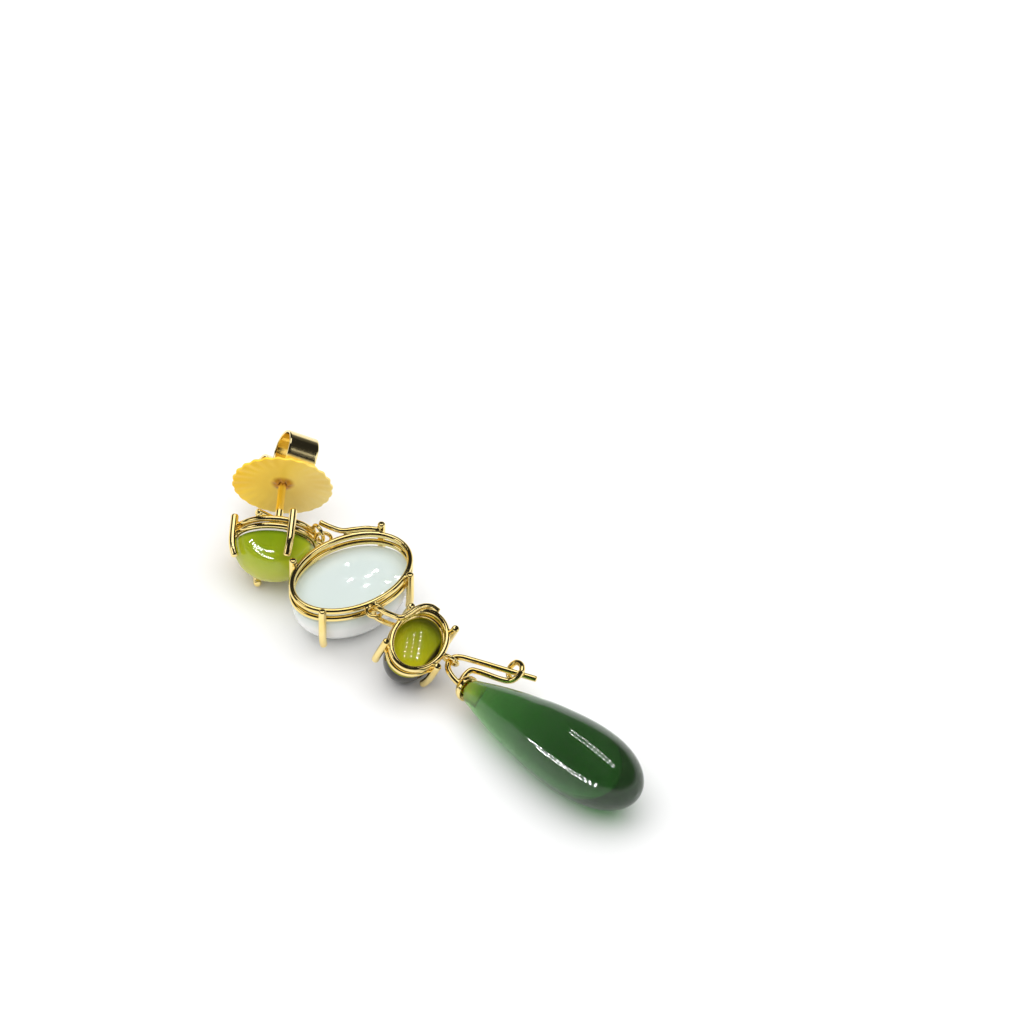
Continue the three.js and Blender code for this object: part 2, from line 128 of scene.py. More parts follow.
FRONT_RISE = RING_WIRE / 2 + STONE_GAP
TOP_BACK = FRONT_RISE + TOP_SPACING
MIDDLE_BACK = FRONT_RISE + MIDDLE_SPACING
LOWER_BACK = FRONT_RISE + LOWER_SPACING
PRONG_OUT = RING_WIRE / 2 + PRONG_WIRE / 2 - SOLDER
HINGE_OUT = RING_WIRE / 2 + MIDDLE_EYELET - SOLDER

Z = Vector((0, 0, 1))


# Wires

def smooth_path(points, steps):
    """Centripetal curve through the points, sampled at even steps."""
    ends = [points[0] * 2 - points[1], *points, points[-1] * 2 - points[-2]]
    samples = []
    spans = len(points) - 1
    for step in range(steps + 1):
        place = step / steps * spans
        span = min(int(place), spans - 1)
        share = place - span
        p0, p1, p2, p3 = ends[span:span + 4]
        t01 = max((p1 - p0).length ** 0.5, 1e-6)
        t12 = max((p2 - p1).length ** 0.5, 1e-6)
        t23 = max((p3 - p2).length ** 0.5, 1e-6)
        start = ((p1 - p0) / t01 - (p2 - p0) / (t01 + t12) + (p2 - p1) / t12) * t12
        end = ((p2 - p1) / t12 - (p3 - p1) / (t12 + t23) + (p3 - p2) / t23) * t12
        s2, s3 = share * share, share ** 3
        samples.append(p1 * (2 * s3 - 3 * s2 + 1) + start * (s3 - 2 * s2 + share)
                       + p2 * (3 * s2 - 2 * s3) + end * (s3 - s2))
    return samples


def sweep(mesh, points, radius, sides=14, closed=False, rounding=WIRE_END):
    """Round wire along the points; open ends are rounded over by a share of the radius."""
    line = [p.copy() for p in points]
    count = len(line)
    tangents = []
    for place in range(count):
        before = line[place - 1] if closed or place else line[place]
        after = line[(place + 1) % count] if closed or place < count - 1 else line[place]
        tangents.append((after - before).normalized())
    side = tangents[0].orthogonal().normalized()
    rows = []
    for place in range(count):
        side = (side - tangents[place] * side.dot(tangents[place])).normalized()
        rows.append((line[place], tangents[place], side.copy(), radius))
    if not closed:
        steps = 4
        first, last = rows[0], rows[-1]
        head, tail = [], []
        for step in range(1, steps + 1):
            turn = math.pi / 2 * step / steps
            out = radius * rounding * math.sin(turn)
            size = radius * (1 - rounding) + radius * rounding * math.cos(turn)
            head.insert(0, (first[0] - first[1] * out, first[1], first[2], size))
            tail.append((last[0] + last[1] * out, last[1], last[2], size))
        rows = head + rows + tail
    loops = []
    for centre, tangent, across, size in rows:
        up = tangent.cross(across)
        loops.append([
            mesh.verts.new(centre + across * size * math.cos(math.tau * k / sides)
                           + up * size * math.sin(math.tau * k / sides))
            for k in range(sides)
        ])
    spans = len(loops) if closed else len(loops) - 1
    for span in range(spans):
        a, b = loops[span], loops[(span + 1) % len(loops)]
        shift = 0
        if closed and span == spans - 1:
            shift = min(range(sides), key=lambda s: (a[0].co - b[s].co).length)
        for k in range(sides):
            n = (k + 1) % sides
            mesh.faces.new((a[k], a[n], b[(n + shift) % sides], b[(k + shift) % sides]))
    if not closed:
        mesh.faces.new(list(reversed(loops[0])))
        mesh.faces.new(loops[-1])


def oval(mesh, centre, across, along, half_across, half_along, wire, steps=120):
    """Closed oval wire round the centre."""
    points = [
        centre + across * half_across * math.cos(math.tau * k / steps)
        + along * half_along * math.sin(math.tau * k / steps)
        for k in range(steps)
    ]
    sweep(mesh, points, wire / 2, closed=True)


def eyelet(mesh, centre, across, along, radius):
    oval(mesh, centre, across, along, radius, radius, EYELET_WIRE, 48)


# Settings: z 0 is the plane of the stone's flat back, +z is behind the stone

def dome_width(stone, depth):
    share = max(0.0, min(1.0, depth / stone["height"]))
    return max(0.0, 1 - share ** stone["fullness"]) ** (1 / stone["fullness"])


def ring_point(stone, angle, out, rise):
    a = stone["length"] / 2 - RING_INSET
    b = stone["width"] / 2 - RING_INSET
    turn = math.radians(angle)
    normal = Vector((math.cos(turn) / a, math.sin(turn) / b)).normalized()
    return Vector((a * math.cos(turn) + out * normal.x, b * math.sin(turn) + out * normal.y, rise))


def outward_at(stone, angle):
    return ring_point(stone, angle, 1, 0) - ring_point(stone, angle, 0, 0)


def scroll_line(stone, back, rows):
    """Curved wire over a back ring: angle round the ring, out from it and up from it in wires."""
    return [ring_point(stone, angle, out * SCROLL_WIRE, back + rise * SCROLL_WIRE)
            for angle, out, rise in rows]


def prong(mesh, stone, back, angle, stub, reach, hug):
    points = [
        ring_point(stone, angle, PRONG_OUT, back + stub * PRONG_WIRE),
        ring_point(stone, angle, PRONG_OUT, FRONT_RISE),
    ]
    for share in (0.35, 0.7, 1):
        depth = reach * stone["height"] * share
        shrink = (1 - dome_width(stone, depth)) * hug * stone["width"] / 2
        points.append(ring_point(stone, angle, PRONG_OUT - shrink, -depth))
    sweep(mesh, smooth_path(points, 40), PRONG_WIRE / 2, rounding=PRONG_END)


def setting(mesh, stone, back, prongs):
    a = stone["length"] / 2 - RING_INSET
    b = stone["width"] / 2 - RING_INSET
    for rise in (FRONT_RISE, back):
        oval(mesh, Z * rise, Vector((1, 0, 0)), Vector((0, 1, 0)), a, b, RING_WIRE)
    for row in prongs:
        prong(mesh, stone, back, *row)


# Frames in the chain: the middle setting is its root

def basis(along, across, up, origin=Vector()):
    turned = Matrix((along, across, up)).transposed().to_4x4()
    turned.translation = origin
    return turned


def heading(angle):
    return Vector((math.cos(math.radians(angle)), math.sin(math.radians(angle)), 0))


MIDDLE_FRAME = basis(heading(MIDDLE_HEADING), heading(MIDDLE_HEADING + 90), Z,
                     Z * MIDDLE_STONE["height"])

# angle round the ring, stub behind it in wires, reach down the dome and how closely it follows the dome
MIDDLE_PRONGS = [(32, 1, 0.54, 0.8), (124, 0.65, 0.02, 0.8), (214, 0.59, 0.667, 0.8), (306, 0.7, 0.5, 0.4)]
TOP_PRONGS = [(27, 1, 0.59, 0.8), (113, 1, 0.69, 0.8), (207, 0.7, 0.31, 0.8), (293, 0.7, 0.72, 0.8)]
LOWER_PRONGS = [
    (52, 0.35, 0.355, 0.8), (131, 0.59, 0.44, 0.3), (248, 0.59, 0.53, 0.8), (318, 1.06, 0.27, 0.8),
]

MIDDLE_SCROLL = [
    (34, 0.68, 0.48), (46, 0.65, 0.73), (58, 0.68, 0.73), (68, 1.13, 0.65), (75, 2.9, 0.56),
    (79, 4.44, 0.65),
]
TOP_HINGE = (83.7, MIDDLE_BACK - 0.28 * RING_WIRE)
LOWER_HINGE = (260, MIDDLE_BACK - 0.22 * RING_WIRE)

TOP_JOINT_ANGLE = 160
TOP_JOINT_OUT = 2.1 * TOP_EYELET
TOP_JOINT_DOWN = 0.74 * TOP_EYELET
BRIDGE_ENDS = (66, 205)
BRIDGE_OVER = 0.36 * PRONG_WIRE
POST_SHARE = 0.35

yaw, rise = math.radians(TOP_YAW), math.radians(TOP_RISE)
POST_AXIS = Vector((math.cos(rise) * math.sin(yaw), math.cos(rise) * math.cos(yaw), math.sin(rise)))
TOP_ALONG = Vector((-math.cos(yaw), math.sin(yaw), 0))
TOP_TURN = basis(TOP_ALONG, POST_AXIS.cross(TOP_ALONG), POST_AXIS)
TOP_HINGE_POINT = MIDDLE_FRAME @ ring_point(MIDDLE_STONE, TOP_HINGE[0], HINGE_OUT, TOP_HINGE[1])
TOP_HINGE_OUT = MIDDLE_FRAME.to_3x3() @ outward_at(MIDDLE_STONE, TOP_HINGE[0])
TOP_FRAME = TOP_TURN.copy()
TOP_FRAME.translation = (
    TOP_HINGE_POINT + TOP_HINGE_OUT * TOP_JOINT_OUT - Z * TOP_JOINT_DOWN
    - TOP_TURN @ ring_point(TOP_STONE, TOP_JOINT_ANGLE, 0, TOP_BACK)
)
BRIDGE_RISE = TOP_BACK + RING_WIRE / 2 + PRONG_WIRE / 2 - SOLDER
BRIDGE = [ring_point(TOP_STONE, angle, BRIDGE_OVER, BRIDGE_RISE) for angle in BRIDGE_ENDS]
POST_FOOT = BRIDGE[0].lerp(BRIDGE[1], POST_SHARE)
CLUTCH_FRAME = (TOP_FRAME @ Matrix.Translation(POST_FOOT + Z * CLUTCH_GAP)
                @ Matrix.Rotation(math.radians(CLUTCH["turn"]), 4, "Z"))

LOWER_SCROLL = [
    (4, 0.73, 0.32), (17, 0.81, 0.56), (30, 0.68, 0.68), (46, 0.32, 0.81), (66, 0, 0.81), (80, 0.4, 0.73),
]
# the hook from the eyelet that it hangs in, in the lower setting's frame and in radii of that eyelet
LOWER_HOOK = [(-0.36, -1.43, 1.9), (-0.12, -0.36, 1.19), (0, 0.095, 0.12), (0, -0.36, -0.95),
              (0.06, -1.55, -0.89)]
HOOK_ROOT = (84, 0.16 * SCROLL_WIRE, FRONT_RISE)
LOWER_HANG = Vector((0.132 * LOWER_STONE["length"], LOWER_STONE["width"], -0.7 * RING_WIRE))

LOWER_HINGE_POINT = MIDDLE_FRAME @ ring_point(MIDDLE_STONE, LOWER_HINGE[0], HINGE_OUT, LOWER_HINGE[1])
lower_along = heading(LOWER_HEADING)
lower_along = (lower_along - LOWER_NORMAL * lower_along.dot(LOWER_NORMAL)).normalized()
LOWER_TURN = basis(lower_along, LOWER_NORMAL.cross(lower_along), LOWER_NORMAL)
LOWER_FRAME = LOWER_TURN.copy()
LOWER_FRAME.translation = LOWER_HINGE_POINT - LOWER_TURN @ LOWER_HANG

CLIP_HINGE = (276, FRONT_RISE + 1.1 * RING_WIRE)
CLIP_HINGE_OUT = RING_WIRE / 2 + CLIP_EYELET - SOLDER
CLIP_HINGE_LOCAL = ring_point(LOWER_STONE, CLIP_HINGE[0], CLIP_HINGE_OUT, CLIP_HINGE[1])
CLIP_ALONG = Vector((1, 0, 0))
CLIP_ACROSS = Vector((0, math.cos(math.radians(CLIP_RISE)), math.sin(math.radians(CLIP_RISE))))
CLIP_TURN = basis(CLIP_ALONG, CLIP_ACROSS, CLIP_ALONG.cross(CLIP_ACROSS))


def clip_place(along, across, out):
    return Vector((along * CLIP["reach"], across * CLIP["height"], out * CLIP["depth"]))


CLIP_PIN = [
    (-0.039, 0.058, 0), (-0.13, 0.314, 0), (-0.188, 0.6, 0), (-0.175, 0.84, 0), (-0.112, 0.984, 0),
    (-0.013, 1, 0), (0.097, 0.93, 0), (0.571, 0.564, 0), (1, 0.228, 0),
]
CLIP_KEEPER = [
    (-0.026, 0.064, 0), (0.039, 0.343, 0), (0.123, 0.529, 0), (0.221, 0.49, 0), (0.636, 0.144, 0.125),
    (0.74, 0.199, 0.69), (0.812, 0.4, 1), (0.805, 0.673, 0.625), (0.734, 0.817, 0), (0.662, 0.721, -0.625),
    (0.636, 0.513, -1), (0.649, 0.353, -1),
]
CLIP_THROUGH = clip_place(-0.156, 0.904, 0)
PIN_DIRECTION = CLIP_TURN.to_3x3() @ Vector((0.5, 0.86, 0)).normalized()
CAP_END = LOWER_FRAME @ CLIP_HINGE_LOCAL - CLIP_TURN @ CLIP_THROUGH
CLIP_FRAME = CLIP_TURN.copy()
CLIP_FRAME.translation = CAP_END

drop_rise, drop_heading = math.radians(DROP_RISE), math.radians(DROP_HEADING)
DROP_AXIS = Vector((math.cos(drop_rise) * math.cos(drop_heading),
                    math.cos(drop_rise) * math.sin(drop_heading), math.sin(drop_rise)))
DROP_TURN = Vector((0, 1, 0)).rotation_difference(DROP_AXIS).to_matrix().to_4x4()
DROP_FRAME = DROP_TURN.copy()
DROP_FRAME.translation = CAP_END + DROP_AXIS * (CAP["height"] + CAP["gap"])
CAP_FRAME = DROP_TURN.copy()
CAP_FRAME.translation = CAP_END

# The chain's frame in the row frame, found from the middle stone's box
low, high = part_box("middle_stone")
ANCHOR = Vector(((low[0] + high[0]) / 2, (low[1] + high[1]) / 2, high[2]))
CHAIN = (Matrix.Translation(ANCHOR) @ Matrix.Rotation(math.radians(-DROP_HEADING), 4, "Z")
         @ Matrix.Scale(MM, 4) @ Matrix.Translation(-Z * MIDDLE_STONE["height"]))


# Pieces

def place_piece(name, data, matrix, material, slot, node, body="earring"):
    data.transform(CHAIN @ matrix)
    data.name = name
    obj = bpy.data.objects.new(name, data)
    bpy.context.scene.collection.objects.link(obj)
    data.materials.clear()
    data.materials.append(material)
    for polygon in data.polygons:
        polygon.use_smooth = True
    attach(obj, body)
    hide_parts(node)
    return obj


def to_data(mesh):
    bmesh.ops.recalc_face_normals(mesh, faces=mesh.faces[:])
    data = bpy.data.meshes.new("shape")
    mesh.to_mesh(data)
    mesh.free()
    return data


def mark(data, name, value_at):
    """Keeps a number at each point of the mesh, which its material reads."""
    layer = data.attributes.new(name, "FLOAT", "POINT")
    layer.data.foreach_set("value", [value_at(vertex.co) for vertex in data.vertices])


def fused(mesh, voxel, smoothing=6):
    """The wires run together into one body, as solder does, and polished."""
    obj = bpy.data.objects.new("fusing", to_data(mesh))
    bpy.context.scene.collection.objects.link(obj)
    remesh = obj.modifiers.new("fuse", "REMESH")
    remesh.mode = "VOXEL"
    remesh.voxel_size = voxel
    remesh.adaptivity = 0
    polish = obj.modifiers.new("polish", "SMOOTH")
    polish.factor = 0.5
    polish.iterations = smoothing
    data = bpy.data.meshes.new_from_object(obj.evaluated_get(bpy.context.evaluated_depsgraph_get()))
    bpy.data.objects.remove(obj)
    return data


def middle_setting():
    mesh = bmesh.new()
    setting(mesh, MIDDLE_STONE, MIDDLE_BACK, MIDDLE_PRONGS)
    line = scroll_line(MIDDLE_STONE, MIDDLE_BACK, MIDDLE_SCROLL)
    sweep(mesh, smooth_path(line, 60), SCROLL_WIRE / 2)
    for angle, rise_of in (TOP_HINGE, LOWER_HINGE):
        centre = ring_point(MIDDLE_STONE, angle, HINGE_OUT, rise_of)
        eyelet(mesh, centre, Vector((1, 0, 0)), Vector((0, 1, 0)), MIDDLE_EYELET)
    return fused(mesh, MIDDLE_GRAIN)


def top_setting():
    mesh = bmesh.new()
    setting(mesh, TOP_STONE, TOP_BACK, TOP_PRONGS)
    inverse = TOP_FRAME.inverted()
    centre = inverse @ (TOP_HINGE_POINT + TOP_HINGE_OUT * TOP_EYELET)
    turn = inverse.to_3x3()
    eyelet(mesh, centre, turn @ TOP_HINGE_OUT, turn @ Z, TOP_EYELET)
    sweep(mesh, smooth_path(BRIDGE, 12), PRONG_WIRE / 2, rounding=PRONG_END)
    post = [POST_FOOT + Z * POST_LENGTH * k / 10 for k in range(11)]
    sweep(mesh, post, PRONG_WIRE / 2, sides=20, rounding=POST_END)
    return fused(mesh, TOP_GRAIN)


def lower_setting():
    mesh = bmesh.new()
    setting(mesh, LOWER_STONE, LOWER_BACK, LOWER_PRONGS)
    line = scroll_line(LOWER_STONE, LOWER_BACK, LOWER_SCROLL)
    line += [LOWER_HANG + Vector(row) * MIDDLE_EYELET for row in LOWER_HOOK]
    line.append(ring_point(LOWER_STONE, *HOOK_ROOT))
    sweep(mesh, smooth_path(line, 130), SCROLL_WIRE / 2)
    out = outward_at(LOWER_STONE, CLIP_HINGE[0])
    pin = LOWER_FRAME.to_3x3().inverted() @ PIN_DIRECTION
    eyelet(mesh, CLIP_HINGE_LOCAL, out, pin.cross(out).normalized(), CLIP_EYELET)
    return fused(mesh, LOWER_GRAIN)


def lathe(mesh, profile, sides):
    """Turned form about +Y: rows of (radius, place along the axis)."""
    rows = []
    for radius, along in profile:
        if radius < 1e-6:
            rows.append([mesh.verts.new((0, along, 0))])
        else:
            rows.append([
                mesh.verts.new((radius * math.sin(math.tau * k / sides), along,
                                radius * math.cos(math.tau * k / sides)))
                for k in range(sides)
            ])
    for first, second in zip(rows, rows[1:]):
        for k in range(sides):
            n = (k + 1) % sides
            if len(first) == 1 and len(second) == 1:
                continue
            if len(first) == 1:
                mesh.faces.new((first[0], second[k], second[n]))
            elif len(second) == 1:
                mesh.faces.new((first[k], second[0], first[n]))
            else:
                mesh.faces.new((first[k], second[k], second[n], first[n]))


# share of the cap's radius and place along its axis, over its rounded end
CAP_CROWN = [(0, -0.1), (0.3, -0.09), (0.55, -0.03), (0.78, 0.12), (0.92, 0.34), (1, 0.62)]


def drop_clip():
    mesh = bmesh.new()
    for rows, steps in ((CLIP_PIN, 90), (CLIP_KEEPER, 110)):
        line = smooth_path([clip_place(*row) for row in rows], steps)
        sweep(mesh, line, CLIP_WIRE / 2, rounding=CLIP_END)
    radius = CAP["diameter"] / 2
    inside = radius - CAP["wall"]
    top = CAP["height"] + CAP["lip"]
    crown = [(radius * share, rise_of) for share, rise_of in CAP_CROWN]
    rim = [(radius, top), (radius - CAP["wall"] * 0.5, top + 0.03), (inside, top), (inside, CAP["height"])]
    cup = bmesh.new()
    lathe(cup, crown + rim + [(0, CAP["height"])], 48)
    peg = PEG["diameter"] / 2
    start = CAP["height"] - SOLDER
    end = start + CAP["gap"] + DROP["bore_depth"] - PEG["end_gap"] + SOLDER
    lathe(cup, [(0, start), (peg, start), (peg, end), (0, end)], 24)
    cup.transform(CLIP_FRAME.inverted() @ CAP_FRAME)
    part = bpy.data.meshes.new("cup")
    cup.to_mesh(part)
    cup.free()
    mesh.from_mesh(part)
    bpy.data.meshes.remove(part)
    return fused(mesh, CLIP_GRAIN, smoothing=4)


def cabochon(stone, back_bulge, rows=44, sides=160):
    """Slightly domed back, rounded girdle and a full dome."""
    mesh = bmesh.new()
    profile = [(share, back_bulge * (1 - (share / BACK_SHARE) ** 2) - 0.04)
               for share in (0, 0.15, 0.3, 0.45, 0.6, 0.75, 0.85, 0.92, BACK_SHARE)]
    profile += [(0.985, -GIRDLE * 0.32), (0.998, -GIRDLE * 0.8)]
    for row in range(rows):
        depth = stone["height"] * math.sin(math.pi / 2 * (row + 0.5) / rows)
        if depth >= GIRDLE:
            profile.append((dome_width(stone, depth), -depth))
    profile.append((0, -stone["height"]))
    lathe(mesh, profile, sides)
    mesh.transform(Matrix.Rotation(math.pi / 2, 4, "X"))
    mesh.transform(Matrix.Diagonal((stone["length"] / 2, stone["width"] / 2, 1, 1)))
    data = to_data(mesh)
    mark(data, "depth", lambda point: -point.z / stone["height"])
    mark(data, "along", lambda point: 2 * point.x / stone["length"])
    mark(data, "across", lambda point: 2 * point.y / stone["width"])
    return data


# place along the drop, as a share of its length, and its width as a share of its diameter
DROP_SECTIONS = [
    (0.0, 0.22), (0.008, 0.27), (0.02, 0.315), (0.055, 0.375), (0.1, 0.455), (0.18, 0.58), (0.26, 0.69),
    (0.34, 0.78), (0.42, 0.87), (0.5, 0.93), (0.58, 0.977), (0.66, 1.0), (0.74, 0.985), (0.81, 0.93),
    (0.87, 0.83), (0.92, 0.69), (0.96, 0.51), (0.985, 0.31), (1.0, 0.0),
]


def drop_outline():
    half, length = DROP["diameter"] / 2, DROP["length"]
    return smooth_path([Vector((width * half, at * length, 0)) for at, width in DROP_SECTIONS], 160)


def jade_drop():
    mesh = bmesh.new()
    length = DROP["length"]
    outline = drop_outline()
    bore = DROP["bore"] / 2
    profile = [(0, DROP["bore_depth"]), (bore, DROP["bore_depth"]), (bore, 0.02), (bore + 0.04, 0)]
    profile += [(max(point.x, 0.0), point.y) for point in outline[:-1]] + [(0, length)]
    lathe(mesh, profile, 128)
    data = to_data(mesh)
    mark(data, "along", lambda point: point.y / length)
    # Marks the bore's wall, which the jade's material paints with a yellow glow for the peg seen through the
    # stone.
    mark(data, "bore", lambda point: float(math.hypot(point.x, point.z) < bore * 1.02
                                           and point.y < DROP["bore_depth"] * 1.01))
    return data


def plate_height(radius, turn, half):
    """Rise of the plate: a shallow dish, flutes towards its edge and a star round the post."""
    share = radius / half
    dish = PLATE["dish"] * (1 - share * share) - PLATE["sink"]
    fade = max(0.0, (share - PLATE["flute_from"]) / (1 - PLATE["flute_from"]))
    flutes = PLATE["flute"] * fade * math.cos(turn * CLUTCH["scallops"])
    near = max(0.0, 1 - share / PLATE["star_reach"])
    star = near * near * (PLATE["star"] + PLATE["star_wave"] * math.cos(turn * PLATE["star_points"]))
    return dish + flutes - star


def ear_clutch():
    mesh = bmesh.new()
    half = CLUTCH["diameter"] / 2
    bore = CLUTCH["bore"] / 2 - PLATE["bore_inset"]
    rings, sides = 44, CLUTCH["scallops"] * 20
    faces = []
    for under in (True, False):
        rows = []
        for ring in range(rings + 1):
            share = ring / rings
            row = []
            for k in range(sides):
                turn = math.tau * k / sides
                wave = (1 - math.cos(turn * CLUTCH["scallops"])) / 2
                edge = half - CLUTCH["scallop_depth"] * wave
                radius = bore + (edge - bore) * share
                rise_of = plate_height(radius, turn, half)
                rim = max(0.0, (share - PLATE["thin_from"]) / (1 - PLATE["thin_from"]))
                thick = CLUTCH["thickness"] * (1 - PLATE["thinning"] * rim)
                row.append(mesh.verts.new((radius * math.cos(turn), radius * math.sin(turn),
                                           rise_of if under else rise_of + thick)))
            rows.append(row)
        faces.append(rows)
    for rows in faces:
        for first, second in zip(rows, rows[1:]):
            for k in range(sides):
                n = (k + 1) % sides
                mesh.faces.new((first[k], first[n], second[n], second[k]))
    for edge_row in (0, rings):
        first, second = faces[0][edge_row], faces[1][edge_row]
        for k in range(sides):
            n = (k + 1) % sides
            mesh.faces.new((first[k], first[n], second[n], second[k]))
    for sign in (1, -1):
        scroll_band(mesh, sign)
    data = fused(mesh, CLUTCH_GRAIN, smoothing=3)
    mark(data, "rise", lambda point: point.z)
    mark(data, "radius", lambda point: math.hypot(point.x, point.y) / half)
    mark(data, "side", lambda point: point.x / half)
    return data


def scroll_band(mesh, sign):
    """One scroll of sheet, from the plate's edge over its back to beside the post."""
    size = CLUTCH["scroll_size"] / 2 - CLUTCH["sheet"] / 2
    middle = CLUTCH["slot"] / 2 + CLUTCH["sheet"] / 2 + size
    height = CLUTCH["thickness"] / 2 + size
    rows = [Vector((middle + size * 0.55, CLUTCH["thickness"] / 2, 0))]
    for angle in (-35, 0, 40, 80, 120, 160, 200, 235):
        turn = math.radians(angle)
        rows.append(Vector((middle + size * math.cos(turn), height + size * math.sin(turn), 0)))
    line = smooth_path(rows, 70)
    width = CLUTCH["scroll_width"] / 2
    thick = CLUTCH["sheet"] / 2
    flat, wall = width - SHEET_BEVEL, thick - SHEET_BEVEL
    section = [
        (-flat, -thick), (flat, -thick), (width, -wall), (width, wall),
        (flat, thick), (-flat, thick), (-width, wall), (-width, -wall),
    ]
    loops = []
    for place, point in enumerate(line):
        step = (line[min(place + 1, len(line) - 1)] - line[max(place - 1, 0)]).normalized()
        out = Vector((-step.y, step.x, 0))
        loop = []
        for across, offset in section:
            spot = point + out * offset
            loop.append(mesh.verts.new((sign * across, sign * spot.x, spot.y)))
        loops.append(loop)
    for first, second in zip(loops, loops[1:]):
        for k in range(len(section)):
            n = (k + 1) % len(section)
            mesh.faces.new((first[k], first[n], second[n], second[k]))
    mesh.faces.new(loops[0])
    mesh.faces.new(list(reversed(loops[-1])))


# Materials

class Finish:
    """A material and the few nodes that the finishes here are made of."""

    def __init__(self, name):
        self.material = bpy.data.materials.new(name)
        self.material.use_nodes = True
        self.nodes = self.material.node_tree.nodes
        self.links = self.material.node_tree.links
        self.shader = self.nodes["Principled BSDF"]

    def set(self, **values):
        for name, value in values.items():
            self.shader.inputs[name.replace("_", " ")].default_value = value

    def drive(self, name, source):
        self.links.new(source, self.shader.inputs[name])

    def noise(self, scale, detail=3, roughness=0.5):
        coordinates = self.nodes.new("ShaderNodeTexCoord")
        texture = self.nodes.new("ShaderNodeTexNoise")
        texture.inputs["Scale"].default_value = scale
        texture.inputs["Detail"].default_value = detail
        texture.inputs["Roughness"].default_value = roughness
        self.links.new(coordinates.outputs["Object"], texture.inputs["Vector"])
        return texture.outputs["Fac"]

    def marked(self, name):
        """The number that mark() kept on the mesh."""
        node = self.nodes.new("ShaderNodeAttribute")
        node.attribute_name = name
        return node.outputs["Fac"]

    def colours(self, source, stops):
        ramp = self.nodes.new("ShaderNodeValToRGB")
        elements = ramp.color_ramp.elements
        elements[0].position, elements[0].color = stops[0][0], (*stops[0][1], 1)
        elements[1].position, elements[1].color = stops[-1][0], (*stops[-1][1], 1)
        for position, colour in stops[1:-1]:
            elements.new(position).color = (*colour, 1)
        self.links.new(source, ramp.inputs["Fac"])
        return ramp.outputs["Color"]

    def spread(self, source, low, high, to_low, to_high, smooth=False):
        node = self.nodes.new("ShaderNodeMapRange")
        node.interpolation_type = "SMOOTHSTEP" if smooth else "LINEAR"
        node.inputs["From Min"].default_value = low
        node.inputs["From Max"].default_value = high
        node.inputs["To Min"].default_value = to_low
        node.inputs["To Max"].default_value = to_high
        self.links.new(source, node.inputs["Value"])
        return node.outputs["Result"]

    def combine(self, operation, first, second):
        node = self.nodes.new("ShaderNodeMath")
        node.operation = operation
        for socket, value in zip(node.inputs, (first, second)):
            if isinstance(value, (int, float)):
                socket.default_value = value
            else:
                self.links.new(value, socket)
        return node.outputs["Value"]

    def blend(self, share, first, second, kind="MIX"):
        """Two colours mixed by a share; each is a socket or three numbers."""
        node = self.nodes.new("ShaderNodeMix")
        node.data_type = "RGBA"
        node.blend_type = kind
        mix, base, over = (node.inputs[k] for k in (0, 6, 7))
        for socket, value in ((mix, share), (base, first), (over, second)):
            if isinstance(value, (int, float)):
                socket.default_value = value
            elif isinstance(value, tuple):
                socket.default_value = (*value, 1)
            else:
                self.links.new(value, socket)
        return node.outputs[2]

    def bump(self, source, strength, distance):
        node = self.nodes.new("ShaderNodeBump")
        node.inputs["Strength"].default_value = strength
        node.inputs["Distance"].default_value = distance
        self.links.new(source, node.inputs["Height"])
        self.links.new(node.outputs["Normal"], self.shader.inputs["Normal"])

    def absorb(self, colour, density):
        volume = self.nodes.new("ShaderNodeVolumeAbsorption")
        volume.inputs["Color"].default_value = (*colour, 1)
        volume.inputs["Density"].default_value = density
        self.links.new(volume.outputs["Volume"], self.nodes["Material Output"].inputs["Volume"])


def gold_finish():
    """Polished wire, with soft dents and a little wear."""
    finish = Finish("polished_gold")
    finish.set(Metallic=1.0)
    finish.drive("Base Color", finish.colours(
        finish.noise(420), [(0.3, (0.95, 0.72, 0.25)), (0.7, (1.0, 0.82, 0.38))]))
    finish.drive("Roughness", finish.spread(finish.noise(1500, 5, 0.6), 0.3, 0.7, 0.05, 0.14))
    finish.bump(finish.noise(900, 2), 0.2, 0.00005)
    return finish.material


def satin_gold_finish():
    """Satin plate with polished scrolls; its colour holds a painted reflection, paler on one side, and
    painted shade, darker in the funnel round its hole.
    """
    finish = Finish("satin_gold")
    # Painted reflection: the plate runs from pale yellow on one side to deep orange on the other, standing
    # in for the white floor that it mirrors.
    plate = finish.colours(finish.spread(finish.marked("side"), -1, 1, 0, 1), [
        (0.0, (1.0, 0.84, 0.36)), (0.55, (1.0, 0.72, 0.10)), (1.0, (1.0, 0.64, 0.03))])
    clouds = finish.colours(finish.noise(260), [(0.3, (0.92, 0.86, 0.70)), (0.7, (1.0, 1.0, 1.0))])
    plate = finish.blend(1.0, plate, clouds, "MULTIPLY")
    # Painted shade: the plate is darkened to brown in the funnel round its hole.
    funnel = finish.spread(finish.marked("radius"), 0.14, 0.27, 1, 0, smooth=True)
    plate = finish.blend(funnel, plate, (0.50, 0.22, 0.02))
    scroll = finish.spread(finish.marked("rise"), 0.6, 0.9, 0, 1)
    finish.drive("Metallic", finish.spread(scroll, 0, 1, 0.3, 1))
    finish.drive("Base Color", finish.blend(scroll, plate, (0.98, 0.82, 0.42)))
    grain = finish.noise(2600, 6, 0.7)
    satin = finish.spread(grain, 0.3, 0.7, 0.3, 0.46)
    polish = finish.combine("MULTIPLY", finish.combine("SUBTRACT", 1, scroll), satin)
    finish.drive("Roughness", finish.combine("ADD", polish, finish.combine("MULTIPLY", scroll, 0.1)))
    finish.bump(grain, 0.12, 0.00002)
    return finish.material


def stone_finish(name, transmission=0.0, ior=1.5):
    """Polished stone; its colour and body follow from the marks on its mesh."""
    finish = Finish(name)
    finish.set(IOR=ior, Transmission_Weight=transmission)
    finish.drive("Roughness", finish.spread(finish.noise(500), 0.3, 0.7, 0.03, 0.06))
    finish.bump(finish.noise(260, 2), 0.04, 0.00002)
    return finish


